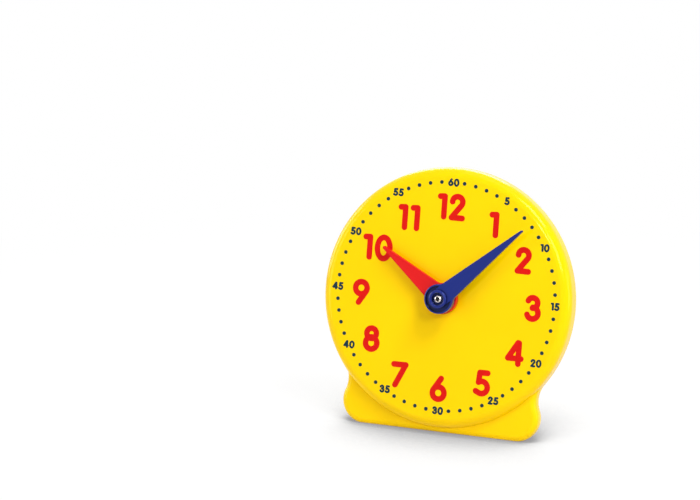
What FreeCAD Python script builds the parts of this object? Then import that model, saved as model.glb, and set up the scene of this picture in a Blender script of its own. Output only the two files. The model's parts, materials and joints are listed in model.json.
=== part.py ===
"""Geared teaching clock: a dial case on a foot, two hands and the wheels that turn them together.

Everything is first modelled upright in the frame of the dial: X to the right, Y into the clock
with the dial face at depth 0, and Z up along the dial. The finished pieces are then leaned back
and stood on the floor plane Z = 0. Lengths are in millimetres, angles in degrees.
"""
import FreeCAD, Part
import math
import os

V = FreeCAD.Vector

# ---------------------------------------------------------------- case
disc_diameter = 127.0         # outside of the round dial
wall = 2.2                    # moulded wall of both shells
front_edge_round = 5.0        # rounding between dial face and rim
rear_edge_round = 7.2         # rounding between rim and back
foot_width = 100.8            # widest part of the foot
foot_corner_round = 12.0      # outline radius of the foot's lower corners
neck_round = 11.9             # hollow radius where the disc runs into the foot
foot_setback = 4.5            # dial face back to the foot's front plate
foot_edge_round = 3.0         # rounding along the foot's front edge
lean = 11.0                   # how far the dial leans back
centre_height = 65.9          # floor to the middle of the dial
foot_trim = 1.1               # what the floor plane takes off the foot's outline at its front plate

# rear stand, moulded on the cover, that keeps the leaning clock from tipping back
stand_width = 64.0
stand_reach = 30.0            # dial face back to the rear of the stand
stand_top = 24.0              # dial centre down to where the stand leaves the back
stand_shoulder = 50.0         # dial centre down to the bend of the stand's slope
shoulder_round = 12.0         # rounding of that bend
stand_round = 4.0             # rounding down both sides of the stand's rear

# tongue on the cover that locates it inside the dial shell
tongue_thickness = 1.2
tongue_root = 2.0
tongue_gap = 0.15

# screws that close the case, named by their places in the plane of the dial
upper_screw_place = (40.0, 32.0)
lower_screw_place = (42.0, -29.0)
cover_screw_radius = 1.4
cover_screw_length = 6.5
cover_head_radius = 2.8
cover_head_height = 1.8
cover_boss_radius = 4.0
cover_seat = 2.0              # plastic between the split line and the screw head
well_wall = 1.8
screw_clearance = 0.25        # room around a shank or head that must pass freely
pilot_spare = 0.5             # depth of a blind hole past the tip of its screw

# ---------------------------------------------------------------- wheels
module = 0.8
pressure_angle = 20.0
addendum = 0.75               # stub teeth: tip height as a share of the module
dedendum = 1.0                # root depth as a share of the module
tooth_thinning = 0.12         # taken off each tooth at the pitch circle, for backlash
minute_pinion_teeth = 15
idler_wheel_teeth = 45
idler_pinion_teeth = 12
wheel_thickness = 2.4
pinion_thickness = 2.6
wheel_gap = 0.4               # air between wheels that pass each other
end_play = 0.3                # how far a wheel can slide along its axle
web_relief = 0.7              # depth of the ring moulded into each wheel's back
relief_margin = 1.6           # wheel material left beside that ring
idler_up = 90.0               # direction from the middle of the dial to the idler

shaft_radius = 2.5
journal_radius = 2.0          # the arbor's rear end, in the gear plate
journal_stub = 0.6            # how far it shows behind the plate
pipe_radius = 4.0             # outside of the hour wheel's pipe
running_gap = 0.06            # radial clearance of whatever turns in something else
idler_pin_radius = 1.5
idler_hub_radius = 3.2
pin_socket_depth = 1.0        # blind socket for the pin in the back of the dial wall
drive_flat = 2.0              # shaft centre to each of the two flats that drive the minute hand
drive_gap = 0.05

washer_space = 0.5
washer_thickness = 0.3
washer_radius = 4.4
washer_slack = 0.05

# gear plate and its screws
plate_thickness = 2.0
plate_post_radius = 3.2
plate_margin = 0.9            # plate beyond the outside of each post
post_gap = 1.2                # air between a post and the nearest wheel
side_post_angle = 110.0        # from the idler's direction round to each side post
plate_screw_radius = 1.1
plate_screw_length = 7.0
plate_head_radius = 2.3
plate_head_height = 1.6
rear_clearance = 2.6          # screw heads to the inside of the cover

# ---------------------------------------------------------------- hands
minute_angle = 46.9           # clockwise from twelve, as the hands stand at rest
hour_angle = 304.7
collar_height = 0.9           # raised ring round the bore in the dial face
collar_radius = 6.2
hub_gap = 0.3                 # collar to hour hand
hand_gap = 1.2                # hour hand to minute hand

hour_disc_radius = 7.55
hour_disc_thickness = 3.2
hour_length = 39.1
hour_root = 11.2              # width that the blade's taper has at the centre
hour_tip = 1.5
hour_blade_thickness = 2.0
hour_blend = 3.0              # hollow radius where the blade runs into its disc

minute_flange_radius = 7.25
minute_flange_thickness = 3.9
minute_length = 53.9
minute_root = 10.2
minute_tip = 1.1
minute_blade_thickness = 2.2
minute_blend = 5.0
hand_bevel = 0.5              # bevel round the front of both hands
boss_radius = 4.55
boss_height = 1.7
boss_round = 0.75
groove_depth = 1.8            # ring sunk into the flange round the boss; it stops at the blade
groove_rim = 0.9              # flange left standing outside that ring
groove_stop = 9.0             # width of the flange, on the blade's side, that stays full
recess_radius = 3.0
recess_depth = 2.3
hub_web = 1.0                 # plastic between the screw head and the end of the shaft

hand_screw_radius = 1.0
hand_screw_length = 7.0
hand_head_radius = 2.15
hand_head_height = 1.3
cross_width = 0.6             # slot width of every cross recess
cross_span = 0.62             # reach of the cross as a share of the head's radius
cross_depth = 0.9
head_side = 0.55              # straight side of a screw head as a share of its height
head_top = 0.7                # flat top of a screw head as a share of its radius

# ---------------------------------------------------------------- worked out from the above
disc_radius = disc_diameter / 2
floor_under_foot = (centre_height - foot_setback * math.sin(math.radians(lean))) / math.cos(math.radians(lean))
foot_drop = floor_under_foot + foot_trim
minute_pinion_pitch = module * minute_pinion_teeth / 2
idler_wheel_pitch = module * idler_wheel_teeth / 2
idler_pinion_pitch = module * idler_pinion_teeth / 2
centre_distance = minute_pinion_pitch + idler_wheel_pitch
hour_wheel_teeth = round(2 * centre_distance / module) - idler_pinion_teeth
hour_wheel_pitch = module * hour_wheel_teeth / 2
idler_place = (
    centre_distance * math.cos(math.radians(idler_up)),
    centre_distance * math.sin(math.radians(idler_up)),
)

# depths, from the front of the hub to the back of the case
hour_back = -collar_height - hub_gap
hour_front = hour_back - hour_disc_thickness
minute_back = hour_front - hand_gap
minute_front = minute_back - minute_flange_thickness
boss_front = minute_front - boss_height
recess_floor = boss_front + recess_depth
hour_wheel_front = wall + end_play
hour_wheel_back = hour_wheel_front + wheel_thickness
pinion_front = hour_wheel_back + wheel_gap
pinion_back = pinion_front + pinion_thickness
plate_front = pinion_back + washer_space
plate_back = plate_front + plate_thickness
case_depth = plate_back + plate_head_height + rear_clearance + wall
split_depth = case_depth - rear_edge_round
seat_depth = split_depth + cover_seat
inside_bevel = 0.8 * (rear_edge_round - wall)
tongue_front = foot_setback + wall + tongue_gap
shaft_front = recess_floor + hub_web

# posts that carry the gear plate, clear of the wheels they stand beside
hour_wheel_tip = hour_wheel_pitch + addendum * module
idler_wheel_tip = idler_wheel_pitch + addendum * module
side_post_reach = hour_wheel_tip + post_gap + plate_post_radius
far_post_reach = centre_distance + idler_wheel_tip + post_gap + plate_post_radius
post_places = [
    (
        reach * math.cos(math.radians(idler_up + turn)),
        reach * math.sin(math.radians(idler_up + turn)),
    )
    for reach, turn in (
        (far_post_reach, 0.0), (side_post_reach, side_post_angle), (side_post_reach, -side_post_angle)
    )
]
cover_screw_places = [
    (side * x, z) for x, z in (upper_screw_place, lower_screw_place) for side in (1, -1)
]

BACK = V(0, 1, 0)
ORIGIN = V(0, 0, 0)


# ---------------------------------------------------------------- helpers
def cylinder(radius, front, back, place=(0.0, 0.0)):
    """Round bar from depth front to depth back, round the point place of the dial plane."""
    return Part.makeCylinder(radius, back - front, V(place[0], front, place[1]), BACK)


def tube(outer, inner, front, back, place=(0.0, 0.0)):
    """Round bar with a bore through it."""
    return cylinder(outer, front, back, place).cut(cylinder(inner, front, back, place))


def turned(points):
    """Solid of revolution about the Y axis, from (radius, depth) corners."""
    corners = [V(radius, depth, 0) for radius, depth in points]
    wire = Part.makePolygon(corners + corners[:1])
    return Part.Face(wire).revolve(ORIGIN, BACK, 360)


def prism(wire, front, back):
    """The outline wire, drawn at depth 0, made solid between two depths."""
    face = Part.Face(wire)
    face.translate(V(0, front, 0))
    return face.extrude(V(0, back - front, 0))


def edges_at(shape, depth):
    """Edges that lie wholly at one depth."""
    return [e for e in shape.Edges if all(abs(b - depth) < 1e-4 for b in (e.BoundBox.YMin, e.BoundBox.YMax))]


def round_rim(shape, radius, depth, rim):
    """Round the circular edge of radius rim at the given depth."""
    picked = [e for e in edges_at(shape, depth) if abs(e.BoundBox.XLength / 2 - rim) < 1e-4]
    return shape.makeFillet(radius, picked)


def toward(start, end, length):
    """Point at a given length from start, on the way to end."""
    step = end.sub(start)
    return start.add(step.multiply(length / step.Length))


def arc_about(centre, start, end, radius, side):
    """Arc of a circle from start to end, passing on the side of its centre that side points to."""
    return Part.Arc(start, centre.add(V(side).normalize().multiply(radius)), end).toShape()


def raised_floor(height):
    """Everything lower than height above the floor, seen in the frame of the dial."""
    reach = 3 * disc_diameter
    top = height - centre_height
    block = Part.makeBox(2 * reach, 2 * reach, reach, V(-reach, -reach, top - reach))
    block.rotate(ORIGIN, V(1, 0, 0), lean)
    return block


# ---------------------------------------------------------------- case
def case_outline(inset):
    """Disc and foot in one outline of tangent arcs, moved inwards by inset.

    A corner circle sits at each end of the foot, and a hollow neck circle touches both
    the disc and that corner circle.
    """
    corner = V(foot_width / 2 - foot_corner_round, 0, foot_corner_round - foot_drop)
    to_neck = disc_radius + neck_round
    corner_to_neck = foot_corner_round + neck_round
    along = (to_neck ** 2 - corner_to_neck ** 2 + corner.Length ** 2) / (2 * corner.Length)
    aside = math.sqrt(to_neck ** 2 - along ** 2)
    forward = V(corner).normalize()
    neck = V(forward).multiply(along).add(V(-forward.z, 0, forward.x).multiply(aside))

    on_disc = toward(ORIGIN, neck, disc_radius - inset)
    on_corner = toward(corner, neck, foot_corner_round - inset)
    low = corner.add(V(0, 0, inset - foot_corner_round))
    neck_side = on_disc.sub(neck).normalize().add(on_corner.sub(neck).normalize())
    corner_side = on_corner.sub(corner).normalize().add(V(0, 0, -1))

    def mirrored(point):
        return V(-point.x, point.y, point.z)

    right = [
        arc_about(neck, on_disc, on_corner, neck_round + inset, neck_side),
        arc_about(corner, on_corner, low, foot_corner_round - inset, corner_side),
    ]
    left = [
        arc_about(
            mirrored(corner), mirrored(low), mirrored(on_corner), foot_corner_round - inset, mirrored(corner_side)
        ),
        arc_about(mirrored(neck), mirrored(on_corner), mirrored(on_disc), neck_round + inset, mirrored(neck_side)),
    ]
    bottom = Part.LineSegment(low, mirrored(low)).toShape()
    top = arc_about(ORIGIN, mirrored(on_disc), on_disc, disc_radius - inset, V(0, 0, 1))
    return Part.Wire(right + [bottom] + left + [top])


def rounded_disc():
    """The round of the dial with its soft front edge."""
    return round_rim(cylinder(disc_radius, 0, split_depth), front_edge_round, 0, disc_radius)


def disc_hollow():
    """Room inside the round of the dial, bevelled where the front edge is rounded."""
    radius, bevel = disc_radius - wall, front_edge_round - wall
    return turned([
        (0, wall), (radius - bevel, wall), (radius, wall + bevel), (radius, split_depth), (0, split_depth),
    ])


def stand_block(inset):
    """The wedge behind the foot, moved inwards by inset; it starts inside the cover."""
    corners = [
        V(0, split_depth, -stand_top + (case_depth - split_depth)),
        V(0, case_depth, -stand_top),
        V(0, stand_reach, -stand_shoulder),
        V(0, stand_reach, -2 * foot_drop),
        V(0, split_depth, -2 * foot_drop),
    ]
    wire = Part.makePolygon(corners + corners[:1])
    if inset:
        wire = wire.makeOffset2D(-inset, 2)
    half = stand_width / 2 - inset
    block = Part.Face(wire).extrude(V(2 * half, 0, 0))
    block.translate(V(-half, 0, 0))
    rear = stand_reach - inset
    bend = [
        e for e in block.Edges
        if e.BoundBox.XLength > half and e.BoundBox.YMin > rear - 1e-4 and e.BoundBox.ZMax > -foot_drop
    ]
    block = block.makeFillet(shoulder_round - inset, bend)
    sides = [e for e in block.Edges if e.BoundBox.YMax > rear - shoulder_round and e.BoundBox.XLength < 1e-4]
    sides = [e for e in sides if e.BoundBox.YMin > split_depth + 1e-4]
    return block.makeFillet(max(stand_round - inset, stand_round / 4), sides)


def screw_hole(radius, tip, top, place):
    """Blind hole for a screw whose tip reaches depth tip."""
    return cylinder(radius, tip - pilot_spare, top, place)


def make_dial_shell():
    foot = prism(case_outline(0), foot_setback, split_depth)
    edge = min(foot_edge_round, 0.8 * (split_depth - foot_setback))
    foot = foot.makeFillet(edge, edges_at(foot, foot_setback))
    shell = rounded_disc().fuse(foot)

    hollow = disc_hollow().fuse(prism(case_outline(wall), foot_setback + wall, split_depth))
    shell = shell.cut(hollow.cut(raised_floor(wall)))
    shell = shell.cut(raised_floor(0))

    additions = [cylinder(collar_radius, -collar_height, wall)]
    additions += [cylinder(plate_post_radius, wall / 2, plate_front, place) for place in post_places]
    additions += [cylinder(cover_boss_radius, wall / 2, split_depth, place) for place in cover_screw_places]
    shell = shell.fuse(additions)

    holes = [cylinder(pipe_radius + running_gap, -collar_height, wall)]
    holes += [cylinder(idler_pin_radius, wall - pin_socket_depth, wall, idler_place)]
    plate_tip = plate_back - plate_screw_length
    holes += [screw_hole(plate_screw_radius, plate_tip, plate_front, place) for place in post_places]
    cover_tip = seat_depth - cover_screw_length
    holes += [screw_hole(cover_screw_radius, cover_tip, split_depth, place) for place in cover_screw_places]
    return shell.cut(holes).removeSplitter()


def make_tongue():
    """Ring that reaches from the cover into the dial shell and keeps the two in line."""
    outer = wall + tongue_gap
    ring = prism(case_outline(outer), tongue_front, split_depth + tongue_root)
    root = prism(case_outline(wall / 2), split_depth, split_depth + tongue_root)
    inner = prism(case_outline(outer + tongue_thickness), tongue_front, split_depth + tongue_root)
    return ring.fuse(root).cut(inner)


def make_rear_cover():
    spare = 1.0
    body = prism(case_outline(0), split_depth - spare, case_depth)
    body = body.makeFillet(rear_edge_round, edges_at(body, case_depth))
    body = body.fuse(stand_block(0))

    inside = prism(case_outline(wall), split_depth - spare, case_depth - wall)
    inside = inside.makeChamfer(inside_bevel, edges_at(inside, case_depth - wall))
    inside = inside.fuse(stand_block(wall)).cut(raised_floor(wall))

    wells = [
        cylinder(cover_head_radius + screw_clearance + well_wall, split_depth, case_depth - wall / 2, place)
        for place in cover_screw_places
    ]
    front = Part.makeBox(
        2 * disc_diameter, spare, 3 * disc_diameter, V(-disc_diameter, split_depth - spare, -2 * disc_diameter)
    )
    cover = body.cut(inside).fuse(wells).cut(front)

    tongue = make_tongue().cut(raised_floor(wall + tongue_gap))
    cover = cover.fuse(tongue).cut(raised_floor(0))
    holes = [
        cylinder(cover_screw_radius + screw_clearance, split_depth, case_depth, place)
        for place in cover_screw_places
    ]
    holes += [
        cylinder(cover_head_radius + screw_clearance, seat_depth, case_depth, place)
        for place in cover_screw_places
    ]
    return cover.cut(holes).removeSplitter()


# ---------------------------------------------------------------- screws
def pan_screw(radius, length, head_radius, head_height, seat, place, facing):
    """Cross-recess pan-head screw with its seat at one depth; facing is +1 where the head looks back."""
    reach = head_radius * cross_span
    depth = min(cross_depth, 0.6 * head_height)
    side, top = head_side * head_height, head_top * head_radius
    head = turned([(0, 0), (head_radius, 0), (head_radius, side), (top, head_height), (0, head_height)])
    slots = [
        Part.makeBox(size_x, depth, size_z, V(-size_x / 2, head_height - depth, -size_z / 2))
        for size_x, size_z in ((2 * reach, cross_width), (cross_width, 2 * reach))
    ]
    shank = turned([(0, 0), (radius, 0), (radius, radius - length), (radius / 4, -length), (0, -length)])
    screw = head.cut(slots).fuse(shank)
    if facing < 0:
        screw.rotate(ORIGIN, V(1, 0, 0), 180)
    screw.translate(V(place[0], seat, place[1]))
    return screw


def make_cover_screws():
    return [
        pan_screw(
            cover_screw_radius, cover_screw_length, cover_head_radius, cover_head_height, seat_depth, place, 1
        )
        for place in cover_screw_places
    ]


def make_plate_screws():
    return [
        pan_screw(
            plate_screw_radius, plate_screw_length, plate_head_radius, plate_head_height, plate_back, place, 1
        )
        for place in post_places
    ]


def make_hand_screw():
    return pan_screw(
        hand_screw_radius, hand_screw_length, hand_head_radius, hand_head_height, recess_floor, (0.0, 0.0), -1
    )


# ---------------------------------------------------------------- wheels
def involute(angle):
    return math.tan(angle) - angle


def toothed_outline(teeth, tooth_direction):
    """Outline of an external gear, with the middle of one tooth at tooth_direction.

    Each flank is the arc through three points of the involute of the base circle. Where the
    root lies inside the base circle, the flank goes on as a straight line towards the axis.
    """
    pitch = module * teeth / 2
    pressure = math.radians(pressure_angle)
    base = pitch * math.cos(pressure)
    tip = pitch + addendum * module
    root = pitch - dedendum * module
    half_at_pitch = math.pi / (2 * teeth) - tooth_thinning / (2 * pitch)

    def half_tooth(radius):
        at = math.acos(min(1.0, base / radius))
        return half_at_pitch + involute(pressure) - involute(at)

    def point(radius, angle):
        return V(radius * math.cos(angle), 0, radius * math.sin(angle))

    flank_start = max(root, base)
    middle = (flank_start + tip) / 2
    step = 2 * math.pi / teeth
    edges = []
    for tooth in range(teeth):
        at = math.radians(tooth_direction) + tooth * step
        low, mid, high = half_tooth(flank_start), half_tooth(middle), half_tooth(tip)
        gap_end = at + step - low
        if root < base:
            edges.append(Part.LineSegment(point(root, at - low), point(base, at - low)).toShape())
        edges.append(Part.Arc(point(flank_start, at - low), point(middle, at - mid), point(tip, at - high)).toShape())
        edges.append(Part.Arc(point(tip, at - high), point(tip, at), point(tip, at + high)).toShape())
        edges.append(Part.Arc(point(tip, at + high), point(middle, at + mid), point(flank_start, at + low)).toShape())
        if root < base:
            edges.append(Part.LineSegment(point(base, at + low), point(root, at + low)).toShape())
        edges.append(Part.Arc(point(root, at + low), point(root, at + step / 2), point(root, gap_end)).toShape())
    return Part.Wire(edges)


def gear(teeth, tooth_direction, front, back, place=(0.0, 0.0)):
    """Solid involute gear between two depths."""
    solid = prism(toothed_outline(teeth, tooth_direction), front, back)
    solid.translate(V(place[0], 0, place[1]))
    return solid


def relieved(wheel, teeth, hub_radius, back, place=(0.0, 0.0)):
    """Sink the ring between hub and rim into the back of a wheel."""
    rim = module * teeth / 2 - dedendum * module - relief_margin
    hub = hub_radius + relief_margin
    return wheel.cut(tube(rim, hub, back - web_relief, back, place))


def make_minute_arbor():
    """Minute pinion, shaft with two driving flats at its front, and rear journal."""
    pinion = gear(minute_pinion_teeth, idler_up, pinion_front, pinion_back)
    shaft = cylinder(shaft_radius, shaft_front, pinion_front)
    drive_start = minute_back
    for side in (1, -1):
        flat = Part.makeBox(
            2 * shaft_radius, drive_start - shaft_front, 2 * shaft_radius,
            V(-shaft_radius, shaft_front, drive_flat if side > 0 else -drive_flat - 2 * shaft_radius),
        )
        flat.rotate(ORIGIN, BACK, minute_angle)
        shaft = shaft.cut(flat)
    journal = cylinder(journal_radius, pinion_back, plate_back + journal_stub)
    arbor = pinion.fuse([shaft, journal])
    screw_tip = recess_floor + hand_screw_length
    pilot = cylinder(hand_screw_radius, shaft_front, screw_tip + pilot_spare)
    return arbor.cut(pilot).removeSplitter()


def make_hour_wheel():
    """Hour wheel with the pipe that carries the hour hand."""
    space_first = idler_up + 180.0 / hour_wheel_teeth
    wheel = gear(hour_wheel_teeth, space_first, hour_wheel_front, hour_wheel_back)
    wheel = relieved(wheel, hour_wheel_teeth, pipe_radius, hour_wheel_back)
    wheel = wheel.fuse(cylinder(pipe_radius, hour_front, hour_wheel_front))
    return wheel.cut(cylinder(shaft_radius + running_gap, hour_front, hour_wheel_back)).removeSplitter()


def make_idler_gear():
    """Idler wheel, driven by the minute pinion, with the pinion that drives the hour wheel."""
    toward_dial_centre = idler_up + 180.0
    wheel_back = pinion_front + wheel_thickness
    hub_back = plate_front - end_play
    wheel = gear(
        idler_wheel_teeth, toward_dial_centre + 180.0 / idler_wheel_teeth, pinion_front, wheel_back, idler_place
    )
    wheel = relieved(wheel, idler_wheel_teeth, idler_hub_radius, wheel_back, idler_place)
    pinion = gear(idler_pinion_teeth, toward_dial_centre, hour_wheel_front, pinion_front, idler_place)
    hub = cylinder(idler_hub_radius, pinion_front, hub_back, idler_place)
    bore = cylinder(idler_pin_radius + running_gap, hour_wheel_front, hub_back, idler_place)
    return wheel.fuse([pinion, hub]).cut(bore).removeSplitter()


def make_idler_pin():
    return cylinder(idler_pin_radius, wall - pin_socket_depth, plate_back, idler_place)


def make_friction_washer():
    """Dished spring washer between the minute pinion and the gear plate."""
    inner = journal_radius + running_gap
    front = pinion_back + washer_slack
    back = plate_front - washer_slack
    return turned([
        (inner, back - washer_thickness), (washer_radius, front),
        (washer_radius, front + washer_thickness), (inner, back),
    ])


def make_gear_plate():
    """Three-cornered plate on the posts, with a bearing for the arbor and a seat for the pin."""
    corners = [V(x, 0, z) for x, z in post_places]
    outline = Part.makePolygon(corners + corners[:1]).makeOffset2D(plate_post_radius + plate_margin)
    plate = prism(outline, plate_front, plate_back)
    holes = [cylinder(journal_radius + running_gap, plate_front, plate_back)]
    holes += [cylinder(idler_pin_radius, plate_front, plate_back, idler_place)]
    holes += [
        cylinder(plate_screw_radius + screw_clearance, plate_front, plate_back, place) for place in post_places
    ]
    return plate.cut(holes).removeSplitter()


# ---------------------------------------------------------------- hands
def hand_outline(hub_radius, blend, root, tip, length):
    """Outline of a hand that points to twelve: round hub, hollow blends, straight taper, round tip."""
    end = V(0, 0, length)
    tip_side = V(tip / 2, 0, length - tip / 2)
    root_side = V(root / 2, 0, 0)
    along = tip_side.sub(root_side).normalize()
    outward = V(along.z, 0, -along.x)
    off_line = outward.dot(root_side) + blend
    up_line = math.sqrt((hub_radius + blend) ** 2 - off_line ** 2)
    centre = V(outward).multiply(off_line).add(V(along).multiply(up_line))
    on_blade = centre.sub(V(outward).multiply(blend))
    on_hub = toward(ORIGIN, centre, hub_radius)
    blend_side = on_blade.sub(centre).normalize().add(on_hub.sub(centre).normalize())

    def mirrored(point):
        return V(-point.x, point.y, point.z)

    return Part.Wire([
        Part.LineSegment(on_blade, tip_side).toShape(),
        Part.Arc(tip_side, end, mirrored(tip_side)).toShape(),
        Part.LineSegment(mirrored(tip_side), mirrored(on_blade)).toShape(),
        arc_about(mirrored(centre), mirrored(on_blade), mirrored(on_hub), blend, mirrored(blend_side)),
        arc_about(ORIGIN, mirrored(on_hub), on_hub, hub_radius, V(0, 0, -1)),
        arc_about(centre, on_hub, on_blade, blend, blend_side),
    ])


def hand_body(outline, hub_radius, front, blade_thickness, back):
    """A hand with its blade and hub flush in front, bevelled all round, and a thicker hub behind."""
    body = prism(outline, front, front + blade_thickness)
    body = body.makeChamfer(hand_bevel, edges_at(body, front))
    return body.fuse(cylinder(hub_radius, front + blade_thickness / 2, back))


def make_hour_hand():
    outline = hand_outline(hour_disc_radius, hour_blend, hour_root, hour_tip, hour_length)
    hand = hand_body(outline, hour_disc_radius, hour_front, hour_blade_thickness, hour_back)
    hand = hand.cut(cylinder(pipe_radius, hour_front, hour_back)).removeSplitter()
    hand.rotate(ORIGIN, BACK, hour_angle)
    return hand


def make_minute_hand():
    outline = hand_outline(minute_flange_radius, minute_blend, minute_root, minute_tip, minute_length)
    hand = hand_body(outline, minute_flange_radius, minute_front, minute_blade_thickness, minute_back)
    groove = cylinder(minute_flange_radius - groove_rim, minute_front, minute_front + groove_depth)
    stop = Part.makeBox(
        groove_stop, groove_depth, minute_flange_radius, V(-groove_stop / 2, minute_front, 0)
    )
    boss = round_rim(cylinder(boss_radius, boss_front, minute_back), boss_round, boss_front, boss_radius)
    hand = hand.cut(groove.cut(stop)).fuse(boss).cut(cylinder(recess_radius, boss_front, recess_floor))
    socket = cylinder(shaft_radius + drive_gap, shaft_front, minute_back)
    keep = Part.makeBox(
        4 * shaft_radius, minute_back - shaft_front, 2 * (drive_flat + drive_gap),
        V(-2 * shaft_radius, shaft_front, -drive_flat - drive_gap),
    )
    hand = hand.cut(socket.common(keep))
    hand = hand.cut(cylinder(hand_screw_radius + screw_clearance, recess_floor, shaft_front)).removeSplitter()
    hand.rotate(ORIGIN, BACK, minute_angle)
    return hand


# ---------------------------------------------------------------- placing and writing
def stood_up(shape):
    """Lean a piece back and stand the clock on the floor, its flat underside centred on the origin."""
    placed = shape.copy()
    placed.rotate(ORIGIN, V(1, 0, 0), -lean)
    placed.translate(V(0, -underside_middle, centre_height))
    return placed


def floor_middle(solids):
    """Middle of the flat underside along Y, after leaning, before the clock is centred on it."""
    spans = []
    for solid in solids:
        leaned = solid.copy()
        leaned.rotate(ORIGIN, V(1, 0, 0), -lean)
        for face in leaned.Faces:
            if abs(face.BoundBox.ZMin + centre_height) < 1e-4 and face.BoundBox.ZLength < 1e-4:
                spans += [face.BoundBox.YMin, face.BoundBox.YMax]
    return (min(spans) + max(spans)) / 2


def write_pieces(pieces):
    os.makedirs("parts", exist_ok=True)
    for name, solids in pieces.items():
        placed = [stood_up(solid) for solid in solids]
        shape = placed[0] if len(placed) == 1 else Part.makeCompound(placed)
        shape.exportStep(os.path.join("parts", name + ".step"))
        print(name, len(shape.Solids), "solid(s),", round(shape.Volume, 1), "mm3, valid:", shape.isValid())


dial_shell = make_dial_shell()
rear_cover = make_rear_cover()
underside_middle = floor_middle([dial_shell, rear_cover])

write_pieces({
    "dial_shell": [dial_shell],
    "rear_cover": [rear_cover],
    "cover_screws": make_cover_screws(),
    "gear_plate": [make_gear_plate()],
    "plate_screws": make_plate_screws(),
    "idler_pin": [make_idler_pin()],
    "minute_arbor": [make_minute_arbor()],
    "friction_washer": [make_friction_washer()],
    "idler_gear": [make_idler_gear()],
    "hour_wheel": [make_hour_wheel()],
    "hour_hand": [make_hour_hand()],
    "minute_hand": [make_minute_hand()],
    "hand_screw": [make_hand_screw()],
})
print("case depth", round(case_depth, 3), "split at", round(split_depth, 3), "dial centre at Y", -underside_middle)
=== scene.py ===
"""A geared teaching clock: two-part yellow case, printed dial, red and blue hands.

Sizes are millimetres in the frame of the dial: X to the reader's right, Y from the dial face
into the clock, Z up the dial, with the origin in the middle of the face. A finished mesh is
carried from there to metres on the floor by `DialFrame`.
"""

import json
import logging
import math
from collections.abc import Iterable, Sequence
from dataclasses import dataclass, field
from enum import Enum
from typing import Any

import bmesh
import bpy
from mathutils import Matrix, Vector

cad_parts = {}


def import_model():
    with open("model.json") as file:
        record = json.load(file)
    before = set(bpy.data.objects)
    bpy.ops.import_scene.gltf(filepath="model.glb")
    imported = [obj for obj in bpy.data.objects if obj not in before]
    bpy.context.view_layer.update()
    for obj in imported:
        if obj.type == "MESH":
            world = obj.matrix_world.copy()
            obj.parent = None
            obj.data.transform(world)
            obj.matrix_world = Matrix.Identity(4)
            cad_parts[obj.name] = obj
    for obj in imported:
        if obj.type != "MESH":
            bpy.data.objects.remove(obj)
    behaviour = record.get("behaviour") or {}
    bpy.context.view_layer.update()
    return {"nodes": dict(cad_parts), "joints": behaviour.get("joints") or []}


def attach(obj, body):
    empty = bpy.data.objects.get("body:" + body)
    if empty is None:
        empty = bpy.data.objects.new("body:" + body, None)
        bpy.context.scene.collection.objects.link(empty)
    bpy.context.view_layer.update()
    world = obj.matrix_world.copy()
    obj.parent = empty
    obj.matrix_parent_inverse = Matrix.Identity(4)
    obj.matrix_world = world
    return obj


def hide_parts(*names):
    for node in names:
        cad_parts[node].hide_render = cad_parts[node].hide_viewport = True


LOG = logging.getLogger("teaching_clock")

MM = 0.001
CLOCKWISE = Vector((0.0, 1.0, 0.0))
MERGE = 1e-4
SWEEP = Vector((0.8713, 0.3119, 0.3786))  # a way along which no two places draw level
# Painted shade in crevices starts where a surface's open view falls below this share.
HEMMED_IN = (0.62, 0.26)  # share of open view at a crevice's edge, and the width of that edge
SHARP_ANGLE = math.radians(32.0)

Colour = tuple[float, float, float]
Point = tuple[float, float]
Wire = list[bmesh.types.BMEdge]


def on_dial(x: float, z: float, depth: float = 0.0) -> Vector:
    """A point from its place on the dial and its depth behind the face."""
    return Vector((x, depth, z))


def clock_angle(way: Vector) -> float:
    """Degrees clockwise from twelve of a direction on the dial."""
    return math.degrees(math.atan2(way.x, way.z))


def by_clock(angle: float, radius: float = 1.0) -> Vector:
    """A point of the dial at an angle clockwise from twelve."""
    return on_dial(math.sin(math.radians(angle)) * radius, math.cos(math.radians(angle)) * radius)


class Joining(Enum):
    """Ways of making one solid of two."""

    UNION = "UNION"
    DIFFERENCE = "DIFFERENCE"


class Rounded(Enum):
    """What a bevel rounds."""

    EDGES = "EDGES"
    VERTICES = "VERTICES"


class Body(Enum):
    """Bodies of the frame that pieces ride on."""

    CASE = "case"
    MINUTE = "minute"
    IDLER = "idler"
    HOUR = "hour"


# ------------------------------------------------------------------ frame of the dial
@dataclass(frozen=True)
class DialFrame:
    """Where the leaning dial stands: its centre in metres and its lean in radians."""

    centre: Vector
    lean: float

    @classmethod
    def from_joint(cls, joint: dict[str, Any]) -> "DialFrame":
        """Reads the place and the lean from the joint that the minute hand turns on.

        Args:
            joint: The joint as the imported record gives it.

        Returns:
            The frame of the dial.
        """
        return cls(Vector(joint["pos_m"]), -math.asin(joint["axis"][2]))

    @property
    def matrix(self) -> Matrix:
        """Millimetres on the dial to metres on the floor."""
        turn = Matrix.Rotation(-self.lean, 4, "X")
        return Matrix.Translation(self.centre) @ turn @ Matrix.Scale(MM, 4)

    def floor(self, height: float = 0.0) -> tuple[Vector, Vector]:
        """The floor as a plane of the dial frame.

        Args:
            height: Millimetres that the plane lies above the floor.

        Returns:
            A point of the plane and its upward normal.
        """
        up = on_dial(0.0, math.cos(self.lean), -math.sin(self.lean))
        return up * (height - self.centre.z / MM), up


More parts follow.
